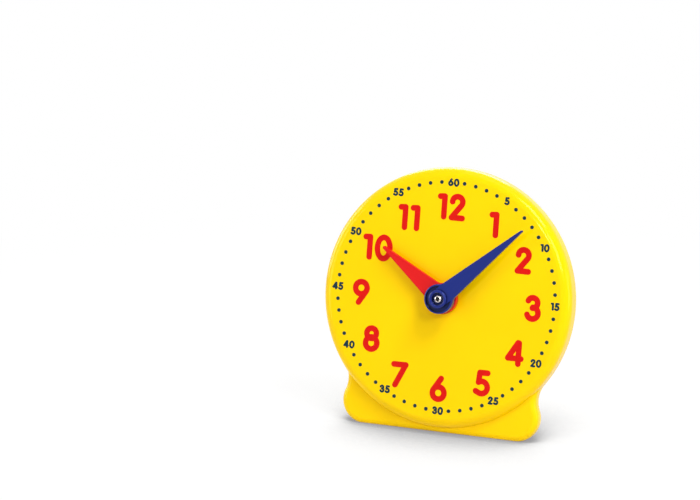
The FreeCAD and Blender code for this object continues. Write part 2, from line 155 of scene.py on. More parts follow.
# ------------------------------------------------------------------ meshes in the making
class Trace:
    """Draws a wire in a bmesh, run by run and arc by arc."""

    def __init__(self, bm: bmesh.types.BMesh, start: Vector) -> None:
        """Puts the first vertex down."""
        self.bm = bm
        self.first = self.tip = bm.verts.new(start)
        self.known = set(bm.edges)

    def line(self, *ends: Vector) -> "Trace":
        """Goes straight to each point in turn."""
        for end in ends:
            vert = self.bm.verts.new(end)
            self.bm.edges.new((self.tip, vert))
            self.tip = vert
        return self

    def arc(self, centre: Vector, degrees: float, steps: int) -> "Trace":
        """Spins on about a centre; positive degrees run clockwise.

        Args:
            centre: Centre of the arc, at the depth of the wire.
            degrees: How far to turn.
            steps: Edges along the arc.

        Returns:
            The trace itself.
        """
        turn = math.radians(degrees)
        spun = bmesh.ops.spin(
            self.bm, geom=[self.tip], cent=centre, axis=CLOCKWISE, angle=turn, steps=steps
        )
        self.tip = next(item for item in spun["geom_last"] if isinstance(item, bmesh.types.BMVert))
        return self

    def close(self) -> Wire:
        """Joins the last vertex to the first and gives the loop."""
        if (self.tip.co - self.first.co).length > MERGE:
            self.bm.edges.new((self.tip, self.first))
        else:
            bmesh.ops.weld_verts(self.bm, targetmap={self.tip: self.first})
        return self.edges()

    def mirror(self) -> Wire:
        """Adds the left half of a wire that was drawn on the right, and gives the loop."""
        half = self.edges()
        ends = dict.fromkeys(vert for edge in half for vert in edge.verts)
        bmesh.ops.mirror(self.bm, geom=[*half, *ends], merge_dist=MERGE, axis="X")
        return self.edges()

    def edges(self) -> Wire:
        """Edges drawn since the trace began."""
        return [edge for edge in self.bm.edges if edge not in self.known]


@dataclass(frozen=True)
class Corner:
    """A corner of a turned profile, by radius and depth, with its rounding."""

    radius: float
    depth: float
    rounding: float = 0.0
    segments: int = 5


def draw_out(bm: bmesh.types.BMesh, way: Vector) -> None:
    """Draws all faces of a bmesh out into a solid.

    Args:
        bm: The bmesh, which keeps its faces as one end of the solid.
        way: From there to the other end.
    """
    grown = bmesh.ops.extrude_face_region(bm, geom=bm.faces[:], use_keep_orig=True)["geom"]
    moved = [item for item in grown if isinstance(item, bmesh.types.BMVert)]
    bmesh.ops.translate(bm, vec=way, verts=moved)
    bmesh.ops.recalc_face_normals(bm, faces=bm.faces[:])


def round_off(bm: bmesh.types.BMesh, geom: Sequence[Any], offset: float, segments: int,
              what: Rounded = Rounded.EDGES) -> None:
    """Rounds edges of a bmesh, or vertices of a wire or face in it.

    Args:
        bm: The bmesh.
        geom: What is rounded.
        offset: How far from it the rounding starts.
        segments: Faces or edges across the rounding.
        what: Whether edges or vertices are meant.
    """
    bmesh.ops.bevel(
        bm, geom=geom, offset=offset, offset_type="OFFSET", affect=what.value, segments=segments,
        profile=0.5, material=-1, clamp_overlap=False,
    )


def put_in_order(bm: bmesh.types.BMesh) -> None:
    """Sorts a bmesh by place, as booleans give their elements in another order each run."""
    bm.verts.sort(key=lambda vert: vert.co.dot(SWEEP))
    bm.edges.sort(key=lambda edge: sum(vert.co.dot(SWEEP) for vert in edge.verts))
    bm.faces.sort(key=lambda face: face.calc_center_bounds().dot(SWEEP) + len(face.verts))


def put_in_scene(name: str, data: bpy.types.ID) -> bpy.types.Object:
    """A new object of the scene with its mesh, light or camera."""
    made = bpy.data.objects.new(name, data)
    bpy.context.scene.collection.objects.link(made)
    return made


class Solid:
    """A closed mesh in dial millimetres: `|` joins two solids, `-` cuts the second away."""

    def __init__(self, bm: bmesh.types.BMesh) -> None:
        """Takes over a bmesh, merges its doubles and turns its faces outwards."""
        put_in_order(bm)
        bmesh.ops.remove_doubles(bm, verts=bm.verts[:], dist=MERGE)
        bmesh.ops.recalc_face_normals(bm, faces=bm.faces[:])
        self.mesh = bpy.data.meshes.new("solid")
        bm.to_mesh(self.mesh)
        bm.free()

    def sketch(self) -> bmesh.types.BMesh:
        """A bmesh copy of the solid."""
        bm = bmesh.new()
        bm.from_mesh(self.mesh)
        return bm

    def _joined(self, other: "Solid", joining: Joining) -> "Solid":
        """Applies a boolean with another solid.

        Args:
            other: The second solid.
            joining: What is made of the two.

        Returns:
            The new solid.
        """
        kept, tool = put_in_scene("kept", self.mesh), put_in_scene("tool", other.mesh)
        modifier = kept.modifiers.new("combine", "BOOLEAN")
        modifier.operation = joining.value
        modifier.solver = "EXACT"
        modifier.object = tool
        depsgraph = bpy.context.evaluated_depsgraph_get()
        made = bpy.data.meshes.new_from_object(kept.evaluated_get(depsgraph))
        bpy.data.objects.remove(kept)
        bpy.data.objects.remove(tool)
        bm = bmesh.new()
        bm.from_mesh(made)
        bpy.data.meshes.remove(made)
        return Solid(bm)

    def __or__(self, other: "Solid") -> "Solid":
        """Both solids as one."""
        return self._joined(other, Joining.UNION)

    def __sub__(self, other: "Solid") -> "Solid":
        """This solid without the other."""
        return self._joined(other, Joining.DIFFERENCE)

    def turned(self, degrees: float) -> "Solid":
        """The solid turned clockwise about the middle of the dial."""
        return self.moved(Matrix.Rotation(math.radians(degrees), 4, CLOCKWISE))

    def moved(self, matrix: Matrix) -> "Solid":
        """The solid carried through a matrix."""
        bm = self.sketch()
        bmesh.ops.transform(bm, matrix=matrix, verts=bm.verts[:])
        return Solid(bm)

    def clipped(self, plane: tuple[Vector, Vector]) -> "Solid":
        """What lies above a plane, closed again along the cut.

        Args:
            plane: A point of the plane and its normal.

        Returns:
            The part on the side that the normal points to.
        """
        bm = self.sketch()
        geom = bm.verts[:] + bm.edges[:] + bm.faces[:]
        cut = bmesh.ops.bisect_plane(
            bm, geom=geom, dist=MERGE, plane_co=plane[0], plane_no=plane[1], clear_inner=True
        )
        rim = [item for item in cut["geom_cut"] if isinstance(item, bmesh.types.BMEdge)]
        bmesh.ops.holes_fill(bm, edges=[edge for edge in rim if edge.is_boundary], sides=0)
        return Solid(bm)

    @staticmethod
    def gathered(solids: Iterable["Solid"]) -> "Solid":
        """Several solids that don't touch, kept in one mesh."""
        bm = bmesh.new()
        for solid in solids:
            bm.from_mesh(solid.mesh)
        return Solid(bm)

    @staticmethod
    def lathe(corners: Sequence[Corner], place: Point = (0.0, 0.0), steps: int = 64) -> "Solid":
        """Turns a profile once round the depth axis.

        Args:
            corners: The profile, from the axis outwards and back to it, or a closed ring of it.
            place: Where on the dial the axis stands.
            steps: Faces round the axis.

        Returns:
            The turned solid.
        """
        bm = bmesh.new()
        verts = [bm.verts.new((corner.radius, corner.depth, 0.0)) for corner in corners]
        for pair in zip(verts, verts[1:]):
            bm.edges.new(pair)
        if corners[0].radius > 0.0:
            bm.edges.new((verts[-1], verts[0]))
        for vert, corner in zip(verts, corners):
            if corner.rounding:
                round_off(bm, [vert], corner.rounding, corner.segments, Rounded.VERTICES)
        profile = bm.verts[:] + bm.edges[:]
        bmesh.ops.spin(
            bm, geom=profile, cent=(0.0, 0.0, 0.0), axis=CLOCKWISE, angle=math.tau, steps=steps,
            use_merge=True,
        )
        bmesh.ops.translate(bm, vec=on_dial(*place), verts=bm.verts[:])
        return Solid(bm)

    @staticmethod
    def bar(radius: float, front: float, back: float, place: Point = (0.0, 0.0),
            steps: int = 48) -> "Solid":
        """A round bar between two depths."""
        ends = [Corner(0.0, front), Corner(radius, front), Corner(radius, back), Corner(0.0, back)]
        return Solid.lathe(ends, place, steps)

    @staticmethod
    def block(size: Vector, middle: Vector) -> "Solid":
        """A block that other solids are cut with."""
        bm = bmesh.new()
        bmesh.ops.create_cube(bm, size=1.0)
        bmesh.ops.scale(bm, vec=size, verts=bm.verts[:])
        bmesh.ops.translate(bm, vec=middle, verts=bm.verts[:])
        return Solid(bm)

    @staticmethod
    def prism(bm: bmesh.types.BMesh, wire: Wire, back: float, front_round: float = 0.0,
              segments: int = 3, rear_round: float = 0.0) -> "Solid":
        """Fills a loop and draws it back into a solid, with its end edges rounded.

        Args:
            bm: The bmesh that holds the loop.
            wire: The loop, at the front of the solid.
            back: Depth of the rear face.
            front_round: Rounding of the front edge.
            segments: Faces across each rounding.
            rear_round: Rounding of the rear edge.

        Returns:
            The solid.
        """
        front = wire[0].verts[0].co.y
        bmesh.ops.edgeloop_fill(bm, edges=wire)
        draw_out(bm, CLOCKWISE * (back - front))
        for depth, rounding in ((front, front_round), (back, rear_round)):
            if rounding:
                edges = [e for e in bm.edges if all(abs(v.co.y - depth) < MERGE for v in e.verts)]
                round_off(bm, edges, rounding, segments)
        return Solid(bm)


# ------------------------------------------------------------------ shader maths
class Link:
    """An output socket that takes part in Python arithmetic."""

    def __init__(self, sheet: "NodeSheet", socket: bpy.types.NodeSocket) -> None:
        """Wraps a socket of a sheet's node."""
        self.sheet = sheet
        self.socket = socket

    def _maths(self, operation: str, first: Any, second: Any) -> "Link":
        """One Math node."""
        return self.sheet.node("ShaderNodeMath", {"operation": operation}, {0: first, 1: second})

    def __add__(self, other: Any) -> "Link":
        """Sum."""
        return self._maths("ADD", self, other)

    __radd__ = __add__

    def __mul__(self, other: Any) -> "Link":
        """Product."""
        return self._maths("MULTIPLY", self, other)

    def __sub__(self, other: Any) -> "Link":
        """Difference."""
        return self._maths("SUBTRACT", self, other)

    def above(self, edge: float, width: float) -> "Link":
        """0 below an edge and 1 above it, softened over a width."""
        return self.sheet.node(
            "ShaderNodeMapRange", {"interpolation_type": "SMOOTHSTEP"},
            {"Value": self, "From Min": edge - width, "From Max": edge + width},
        )


class NodeSheet:
    """The node tree of a material or of the world, filled node by node."""

    def __init__(self, tree: bpy.types.NodeTree) -> None:
        """Starts on an empty tree."""
        self.tree = tree
        self.tree.nodes.clear()

    def node(self, kind: str, settings: dict[str, Any] | None = None,
             inputs: dict[Any, Any] | None = None, output: int | str = 0) -> Link:
        """Adds a node.

        Args:
            kind: Type of the node.
            settings: Attributes, set first.
            inputs: Sockets by name or number, each with a value or a link.
            output: The output that the result stands for.

        Returns:
            The link from that output.
        """
        made = self.tree.nodes.new(kind)
        for name, value in (settings or {}).items():
            setattr(made, name, value)
        for key, value in (inputs or {}).items():
            if isinstance(value, Link):
                self.tree.links.new(value.socket, made.inputs[key])
            else:
                made.inputs[key].default_value = value
        return Link(self, made.outputs[output])

    def finish(self, kind: str, surface: Link) -> None:
        """Adds the output node and joins the surface to it."""
        self.tree.links.new(surface.socket, self.tree.nodes.new(kind).inputs["Surface"])

    def place(self) -> Link:
        """The point of the surface on the object, in metres."""
        return self.node("ShaderNodeTexCoord", output="Object")

    def noise(self, scale: float, detail: float = 2.0, roughness: float = 0.5) -> Link:
        """Even noise on the place, by its grains in a metre."""
        return self.node(
            "ShaderNodeTexNoise", None,
            {"Vector": self.place(), "Scale": scale, "Detail": detail, "Roughness": roughness},
        )

    def blend(self, share: Link, first: Colour, second: Colour) -> Link:
        """A colour between two, by a share."""
        ends = {0: share, 6: (*first, 1.0), 7: (*second, 1.0)}
        return self.node("ShaderNodeMix", {"data_type": "RGBA"}, ends, 2)

    def mottled(self, share: Link, colour: Colour, first: float, second: float) -> Link:
        """A colour that drifts between two brightnesses.

        Args:
            share: Where it drifts: 0 at the first brightness, 1 at the second.
            colour: The colour at full brightness.
            first: The first brightness.
            second: The second brightness.

        Returns:
            The uneven colour.
        """
        low, high = (tuple(level * part for part in colour) for level in (first, second))
        return self.blend(share, low, high)

    def soiled(self, colour: Link, reach: float, left: float) -> Link:
        """A colour darkened by painted shade where other faces hem it in.

        Args:
            colour: The colour before the painted shade.
            reach: Metres within which other faces hem a crevice in.
            left: Share of the colour that is left in the deepest crevice.

        Returns:
            The colour with painted shade in its crevices.
        """
        # Painted shade: ambient occlusion darkens the base colour where a crevice hems the surface
        # in.
        looks = {"samples": 8, "only_local": True}
        open_share = self.node("ShaderNodeAmbientOcclusion", looks, {"Distance": reach}, "AO")
        share = open_share.above(*HEMMED_IN) * (1.0 - left) + left
        looks = {"data_type": "RGBA", "blend_type": "MULTIPLY"}
        return self.node("ShaderNodeMix", looks, {0: 1.0, 6: colour, 7: share}, 2)

    def bump(self, height: Link, depth: float) -> Link:
        """Normals of a relief whose height of one stands for a depth in metres."""
        wired = {"Height": height, "Distance": depth, "Strength": 1.0}
        return self.node("ShaderNodeBump", None, wired)


class Finish:
    """A finish that dresses pieces; it makes its material once."""

    name: str

    def shade(self, sheet: NodeSheet) -> Link:
        """Builds the surface shader."""
        raise NotImplementedError

    def material(self) -> bpy.types.Material:
        """The material of the finish, made when it is first asked for."""
        known = bpy.data.materials.get(self.name)
        if known is not None:
            return known
        made = bpy.data.materials.new(self.name)
        made.use_nodes = True
        sheet = NodeSheet(made.node_tree)
        sheet.finish("ShaderNodeOutputMaterial", self.shade(sheet))
        return made


@dataclass(frozen=True)
class MouldedPlastic(Finish):
    """Injection-moulded plastic: even pigment, faint flow marks, a fine skin from the mould."""

    name: str
    colour: Colour
    roughness: float = 0.24
    specular: float = 0.3
    sheen: Colour = (1.0, 1.0, 1.0)
    # Share of the colour taken away by painted shade in the deepest crevices, and the reach of that
    # shade.
    grime: float = 0.0
    crevice: float = 0.0026
    flow_mark: float = 0.03
    relief: float = 0.000012

    def shade(self, sheet: NodeSheet) -> Link:
        """Pigment varied by the flow and darkened by painted shade in crevices, roughness by the
        skin.
        """
        flow = sheet.noise(28.0, 3.0, 0.55)
        skin = sheet.noise(1500.0, 2.0, 0.6)
        ripple = sheet.noise(160.0)
        dark, light = 1.0 - self.flow_mark, 1.0 + self.flow_mark / 2
        pigment = sheet.mottled(flow.above(0.5, 0.3), self.colour, dark, light)
        # Painted shade in the crevices, through ambient occlusion.
        if self.grime:
            pigment = sheet.soiled(pigment, self.crevice, 1.0 - self.grime)
        return sheet.node("ShaderNodeBsdfPrincipled", None, {
            "Base Color": pigment,
            "Roughness": self.roughness + (ripple - 0.5) * 0.05 + (skin - 0.5) * 0.04,
            "Specular IOR Level": self.specular,
            "Specular Tint": (*self.sheen, 1.0),
            "Normal": sheet.bump(skin * 0.35 + ripple, self.relief),
        })


@dataclass(frozen=True)
class PrintedInk(Finish):
    """Pad-printed ink: a thin, slightly uneven film."""

    name: str
    colour: Colour
    roughness: float = 0.42
    specular: float = 0.12
    mottling: Point = (0.93, 1.05)
    relief: float = 0.000006

    def shade(self, sheet: NodeSheet) -> Link:
        """Pigment with the faint mottling of a printed film."""
        film = sheet.noise(900.0, 3.0, 0.6)
        patch = sheet.noise(120.0)
        share = (film * 0.5 + patch * 0.5).above(0.5, 0.2)
        return sheet.node("ShaderNodeBsdfPrincipled", None, {
            "Base Color": sheet.mottled(share, self.colour, *self.mottling),
            "Roughness": self.roughness + (film - 0.5) * 0.15,
            "Specular IOR Level": self.specular,
            "Normal": sheet.bump(film, self.relief),
        })


@dataclass(frozen=True)
class Metal(Finish):
    """Plated or drawn metal with fine tool marks, slight tarnish and painted shade in its recesses.
    """

    name: str
    colour: Colour
    roughness: float = 0.25
    tarnish: float = 0.25
    # The next two set the painted shade in recesses: its reach, and the share of the colour left in
    # the deepest part.
    crevice: float = 0.0018
    soil_left: float = 0.03
    relief: float = 0.000004

    def shade(self, sheet: NodeSheet) -> Link:
        """Plating that is duller where it has tarnished, with painted shade darkening its recesses.
        """
        marks = sheet.noise(5200.0)
        dull = sheet.noise(700.0, 4.0, 0.6).above(0.55, 0.15)
        plating = sheet.mottled(dull, self.colour, 1.0, 1.0 - self.tarnish)
        return sheet.node("ShaderNodeBsdfPrincipled", None, {
            # Painted shade in the recesses, through ambient occlusion.
            "Base Color": sheet.soiled(plating, self.crevice, self.soil_left),
            "Metallic": 1.0,
            "Roughness": self.roughness + dull * 0.12 + (marks - 0.5) * 0.1,
            "Normal": sheet.bump(marks, self.relief),
        })


YELLOW = MouldedPlastic("yellow_moulding", (1.0, 0.65, 0.0), roughness=0.13, sheen=(1.0, 0.95, 0.3))
RED = MouldedPlastic("red_moulding", (0.73, 0.0075, 0.0085), roughness=0.16, specular=0.2)
# The blue hand's groove and screw recess are darkened by painted shade.
BLUE = MouldedPlastic(
    "blue_moulding", (0.0095, 0.0205, 0.186), roughness=0.12, specular=0.35, sheen=(0.5, 0.6, 1.0),
    grime=0.94,
)
ACETAL = MouldedPlastic("natural_acetal", (0.85, 0.84, 0.78), roughness=0.45)
RED_INK = PrintedInk("red_ink", (0.69, 0.0075, 0.004))
DARK_INK = PrintedInk("dark_ink", (0.005, 0.034, 0.048))
NICKEL = Metal("bright_nickel", (0.84, 0.76, 0.72), roughness=0.18)
ZINC = Metal("zinc_plating", (0.62, 0.63, 0.65), roughness=0.32)
STEEL = Metal("drawn_steel", (0.55, 0.56, 0.58), roughness=0.28)
SPRING = Metal("spring_strip", (0.48, 0.48, 0.50), roughness=0.35)


# ------------------------------------------------------------------ finished pieces
@dataclass(frozen=True)
class Workshop:
    """Carries finished solids to the floor and hands them to the frame."""

    frame: DialFrame

    def deliver(self, solid: Solid, name: str, body: Body, finish: Finish, slot: str,
                replaces: Sequence[str] = (), smooth: bool = True) -> bpy.types.Object:
        """Makes a piece of the object from a solid.

        Args:
            solid: The solid in dial millimetres.
            name: Name of the piece.
            body: Body that it rides on.
            finish: Its finish.
            slot: Material slot of the record that the finish stands for; not used.
            replaces: Nodes of the frame that it stands for.
            smooth: Whether its curved faces are shaded smooth.

        Returns:
            The new object.
        """
        bm = solid.sketch()
        bmesh.ops.dissolve_degenerate(bm, dist=MERGE, edges=bm.edges[:])
        bmesh.ops.transform(bm, matrix=self.frame.matrix, verts=bm.verts[:])
        mesh = bpy.data.meshes.new(name)
        bm.to_mesh(mesh)
        bm.free()
        piece = put_in_scene(name, mesh)
        mesh.materials.append(finish.material())
        if smooth:
            mesh.shade_smooth()
            mesh.set_sharp_from_angle(angle=SHARP_ANGLE)
            weighted = piece.modifiers.new("weighted_normals", "WEIGHTED_NORMAL")
            weighted.keep_sharp = True
        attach(piece, body.value)
        if replaces:
            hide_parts(*replaces)
        LOG.info("%s: %d faces on %s", name, len(mesh.polygons), body.value)
        return piece


@dataclass(frozen=True)
class CaseSizes:
    """Sizes that both halves of the case share."""

    disc_radius: float = 63.5
    wall: float = 2.2
    front_round: float = 5.0
    rear_round: float = 7.2
    foot_width: float = 101.3
    foot_corner: float = 11.6
    neck: float = 12.8
    foot_setback: float = 4.5
    foot_round: float = 3.0
    foot_drop: float = 66.3
    split: float = 9.6
    depth: float = 16.8
    seam: float = 0.22
    pipe_bore: float = 4.06
    upper_screw: Point = (40.0, 32.0)
    lower_screw: Point = (42.0, -29.0)
    seat: float = 11.6
    crownless_share: float = 0.86

    @property
    def screws(self) -> list[Point]:
        """Places of the four screws that hold the rear cover."""
        pairs = (self.upper_screw, self.lower_screw)
        return [(side * x, z) for x, z in pairs for side in (1.0, -1.0)]

    def outline(
        self, bm: bmesh.types.BMesh, inset: float, depth: float, crown: bool = True
    ) -> Wire:
        """Disc and foot in one line of tangent arcs.

        A corner circle sits at each end of the foot, and a hollow neck circle touches both the
        disc and that corner circle.

        Args:
            bm: The bmesh to draw in.
            inset: How far the line is moved inwards.
            depth: Depth of the wire.
            crown: Whether the line follows the top of the disc, or closes inside it.

        Returns:
            The loop.
        """
        corner = on_dial(self.foot_width / 2 - self.foot_corner, self.foot_corner - self.foot_drop)
        to_neck = self.disc_radius + self.neck
        corner_to_neck = self.foot_corner + self.neck
        along = (to_neck**2 - corner_to_neck**2 + corner.length**2) / (2 * corner.length)
        aside = math.sqrt(to_neck**2 - along**2)
        forward = corner.normalized()
        neck = forward * along + on_dial(-forward.z, forward.x) * aside
        at_neck = clock_angle(neck - corner)
        at_disc = clock_angle(neck)
        back = Vector((0.0, depth, 0.0))
        low = corner + on_dial(0.0, inset - self.foot_corner)
        trace = Trace(bm, back + on_dial(0.0, low.z)).line(back + low)
        trace.arc(back + corner, at_neck - 180.0, 28)
        trace.arc(back + neck, clock_angle(-neck) - at_neck + 180.0, 22)
        if crown:
            trace.arc(back, -at_disc, 72)
        else:
            inner = by_clock(at_disc, self.disc_radius * self.crownless_share)
            trace.line(back + inner, back + on_dial(0.0, inner.z))
        return trace.mirror()


@dataclass
class FrontShell:
    """The dial and the front of the foot in one moulding, with posts and bosses inside."""

    shop: Workshop
    sizes: CaseSizes = CaseSizes()
    collar_radius: float = 6.2
    collar_height: float = 0.9
    post_radius: float = 3.2
    post_back: float = 8.4
    post_pilot: float = 1.1
    boss_radius: float = 4.0
    boss_pilot: float = 1.4
    boss_pilot_depth: float = 7.0
    post_places: tuple[Point, ...] = ((0.0, 47.0), (-22.74, -8.28), (22.74, -8.28))
    post_pilot_floor: float = 2.9
    post_clear: float = 10.0
    pin_place: Point = (0.0, 24.0)
    pin_radius: float = 1.5
    pin_floor: float = 1.2
    pin_clear: float = 3.0
    bore_front: float = -2.0
    toe_round: float = 1.3
    toe_inset: float = 0.4
    toe_flats: tuple[float, ...] = (0.15, 0.32, 0.5, 0.68)
    spare: float = 1.0
    steps: int = 224

    def skin(self) -> Solid:
        """The outside: a disc with a soft edge, and the foot set back behind its face."""
        case = self.sizes
        disc = Solid.lathe([
            Corner(0.0, -self.collar_height),
            Corner(self.collar_radius, -self.collar_height, 0.25, 3),
            Corner(self.collar_radius, 0.0),
            Corner(case.disc_radius, 0.0, case.front_round, 14),
            Corner(case.disc_radius, case.split, case.seam, 2),
            Corner(0.0, case.split),
        ], steps=self.steps)
        bm = bmesh.new()
        wire = case.outline(bm, 0.0, case.foot_setback, crown=False)
        foot = Solid.prism(bm, wire, case.split, case.foot_round, 9)
        return (disc | self.softened(foot)).clipped(self.shop.frame.floor())

    def softened(self, foot: Solid) -> Solid:
        """Rounds the front edge of the underside with narrow flats, each tangent to the rounding.

        Args:
            foot: The foot, before it is cut off at the floor.

        Returns:
            The foot with its lower front edge rounded.
        """
        start, up = self.shop.frame.floor(self.toe_round)
        depth = self.sizes.foot_setback + self.toe_inset + self.toe_round
        middle = on_dial(0.0, (start.dot(up) - depth * up.y) / up.z, depth)
        for share in self.toe_flats:
            outward = -(CLOCKWISE * share + up * (1.0 - share)).normalized()
            foot = foot.clipped((middle + outward * self.toe_round, -outward))
        return foot

    def hollow(self) -> Solid:
        """The room inside, a wall's thickness in from the skin."""
        case = self.sizes
        radius, bevel = case.disc_radius - case.wall, case.front_round - case.wall
        past = case.split + self.spare
        disc = Solid.lathe([
            Corner(0.0, case.wall), Corner(radius - bevel, case.wall),
            Corner(radius, case.wall + bevel), Corner(radius, past), Corner(0.0, past),
        ], steps=96)
        bm = bmesh.new()
        wire = case.outline(bm, case.wall, case.foot_setback + case.wall, crown=False)
        return (disc | Solid.prism(bm, wire, past)).clipped(self.shop.frame.floor(case.wall))

    def build(self) -> Solid:
        """The whole moulding."""
        case = self.sizes
        inside = case.wall / 2
        posts = [Solid.bar(self.post_radius, inside, self.post_back, at) for at in self.post_places]
        posts += [Solid.bar(self.boss_radius, inside, case.split, at) for at in case.screws]
        holes = [
            Solid.bar(case.pipe_bore, self.bore_front, inside * 3, steps=96),
            Solid.bar(self.pin_radius, self.pin_floor, self.pin_clear, self.pin_place),
        ]
        holes += [
            Solid.bar(self.post_pilot, self.post_pilot_floor, self.post_clear, at, 24)
            for at in self.post_places
        ]
        bottom, past = case.seat - self.boss_pilot_depth, case.split + self.spare
        holes += [Solid.bar(self.boss_pilot, bottom, past, at, 24) for at in case.screws]
        shell = self.skin() - self.hollow()
        return (shell | Solid.gathered(posts)) - Solid.gathered(holes)

    def make(self) -> None:
        """Builds and dresses the moulding."""
        self.shop.deliver(
            self.build(), "front_shell", Body.CASE, YELLOW, "yellow_plastic", ["dial_shell"]
        )


@dataclass
class RearShell:
    """The rear cover with the stand that keeps the leaning clock upright."""

    shop: Workshop
    sizes: CaseSizes = CaseSizes()
    stand_width: float = 64.0
    stand_reach: float = 30.0
    stand_top: float = 24.0
    stand_shoulder: float = 50.0
    shoulder_run: float = 3.1
    stand_round: float = 4.0
    well_radius: float = 3.05
    well_wall: float = 1.8
    shank_hole: float = 1.65
    tongue: float = 1.2
    tongue_gap: float = 0.15
    tongue_root: float = 2.0
    lip: float = 0.35
    spare: float = 1.0
    round_spare: float = 0.1

    def plate(self, inset: float, front: float, back: float, rear_round: float = 0.0,
              segments: int = 12) -> Solid:
        """The case outline between two depths."""
        bm = bmesh.new()
        wire = self.sizes.outline(bm, inset, front)
        return Solid.prism(bm, wire, back, rear_round=rear_round, segments=segments)

    def stand(self, inset: float) -> Solid:
        """The wedge behind the foot.

        Args:
            inset: How far its faces are moved inwards.

        Returns:
            The wedge, which starts inside the cover and reaches below the floor.
        """
        case = self.sizes
        bm = bmesh.new()
        low = -2 * case.foot_drop
        trace = Trace(bm, on_dial(0.0, -self.stand_top + case.depth - case.split, case.split))
        trace.line(
            on_dial(0.0, -self.stand_top, case.depth),
            on_dial(0.0, -self.stand_shoulder, self.stand_reach),
            on_dial(0.0, low, self.stand_reach), on_dial(0.0, low, case.split),
        )
        bend = (self.stand_reach, -self.stand_shoulder)
        shoulder = next(vert for vert in bm.verts if (vert.co.y, vert.co.z) == bend)
        wire = trace.close()
        bmesh.ops.contextual_create(bm, geom=wire)
        round_off(bm, [shoulder], self.shoulder_run, 8, Rounded.VERTICES)
        face = bm.faces[:][0]
        if inset:
            rim = bmesh.ops.inset_region(
                bm, faces=[face], thickness=inset, use_boundary=True, use_even_offset=True
            )["faces"]
            bmesh.ops.delete(bm, geom=rim, context="FACES")
        half = self.stand_width / 2 - inset
        bmesh.ops.translate(bm, vec=on_dial(-half, 0.0), verts=bm.verts[:])
        draw_out(bm, on_dial(2 * half, 0.0))
        ends = [
            edge for edge in bm.edges
            if abs(edge.verts[0].co.x - edge.verts[1].co.x) < MERGE
            and min(v.co.y for v in edge.verts) > case.split + inset + MERGE
        ]
        round_off(bm, ends, self.stand_round - inset / 2, 6)
        return Solid(bm)

    def build(self) -> Solid:
        """The whole moulding."""
        case = self.sizes
        floor = self.shop.frame.floor
        inner_back, inner_round = case.depth - case.wall, case.rear_round - case.wall
        skin = self.plate(0.0, case.split, case.depth, case.rear_round - self.round_spare)
        skin = skin | self.stand(0.0)
        room = self.plate(case.wall, case.split - self.spare, inner_back, inner_round, 4)
        room = room | self.stand(case.wall)
        shell = skin.clipped(floor()) - room.clipped(floor(case.wall))
        around, well_back = self.well_radius + self.well_wall, case.depth - case.wall / 2
        wells = [Solid.bar(around, case.split, well_back, place) for place in case.screws]
        outer, root_back = case.wall + self.tongue_gap, case.split + self.tongue_root
        tongue_front = case.foot_setback + case.wall + self.tongue_gap
        tongue = self.plate(outer, tongue_front, root_back)
        tongue = tongue | self.plate(case.wall / 2, case.split, root_back)
        inner = outer + self.tongue
        tongue = tongue - self.plate(inner, tongue_front - self.spare, root_back + self.spare)
        shell = (shell | Solid.gathered(wells)) | tongue.clipped(floor(outer))
        return shell - Solid.gathered(self.well(place) for place in case.screws)

    def well(self, place: Point) -> Solid:
        """The room for one screw: a hole for its shank and a wide well for its head."""
        case, past = self.sizes, self.sizes.depth + self.lip
        start = case.split - self.spare
        return Solid.lathe([
            Corner(0.0, start), Corner(self.shank_hole, start),
            Corner(self.shank_hole, case.seat), Corner(self.well_radius, case.seat),
            Corner(self.well_radius, case.depth - self.lip),
            Corner(self.well_radius + 2 * self.lip, past), Corner(0.0, past),
        ], place, 64)

    def make(self) -> None:
        """Builds and dresses the moulding."""
        self.shop.deliver(
            self.build(), "rear_shell", Body.CASE, YELLOW, "yellow_plastic", ["rear_cover"]
        )


@dataclass(frozen=True)
class CrossScrew:
    """A pan-head screw with a cross recess; its head looks out to the back of the clock."""

    radius: float
    length: float
    head_radius: float
    head_height: float
    slot: float
    cross_span: float = 0.64
    cross_middle: float = 0.45
    cross_taper: tuple[float, float, float] = (0.45, 1.0, 0.7)
    socket_depth: float = 1.6

    def build(self) -> Solid:
        """The screw with its seat at depth 0."""
        head, height = self.head_radius, self.head_height
        body = Solid.lathe([
            Corner(0.0, height), Corner(head * 0.66, height, height * 0.3, 4),
            Corner(head, height * 0.52, height * 0.25, 4), Corner(head, 0.0, 0.08, 2),
            Corner(self.radius, 0.0), Corner(self.radius, self.radius - self.length),
            Corner(0.0, -self.length),
        ], steps=72)
        top, bottom = height + 0.2, height - self.socket_depth
        socket = Solid.lathe([
            Corner(0.0, top), Corner(head * 0.47, top), Corner(head * 0.34, bottom),
            Corner(0.0, bottom - 0.2),
        ], steps=32)
        return body - (self.arm(0.0) | self.arm(90.0) | socket)

    def arm(self, turn: float) -> Solid:
        """One arm of the cross, which narrows towards its bottom."""
        size = (2 * self.head_radius * self.cross_span, 1.0, self.slot)
        bm = Solid.block(size, (0.0, 0.0, 0.0)).sketch()
        deep = [vert for vert in bm.verts if vert.co.y < 0.0]
        bmesh.ops.scale(bm, vec=self.cross_taper, verts=deep)
        depth = self.head_height - self.cross_middle
        bmesh.ops.translate(bm, vec=CLOCKWISE * depth, verts=bm.verts[:])
        return Solid(bm).turned(turn)


@dataclass
class CaseScrews:
    """The four screws that hold the rear cover."""

    shop: Workshop
    sizes: CaseSizes = CaseSizes()
    screw: CrossScrew = CrossScrew(1.4, 6.5, 2.8, 1.8, 0.8)
    turns: tuple[float, ...] = (12.0, 61.0, 35.0, 78.0)

    def make(self) -> None:
        """Builds the screws, each tightened to a turn of its own."""
        screw = self.screw.build()
        set_in = [
            screw.turned(turn).moved(Matrix.Translation(on_dial(*place, self.sizes.seat)))
            for turn, place in zip(self.turns, self.sizes.screws)
        ]
        self.shop.deliver(
            Solid.gathered(set_in), "rear_screws", Body.CASE, ZINC, "zinc_screw", ["cover_screws"]
        )


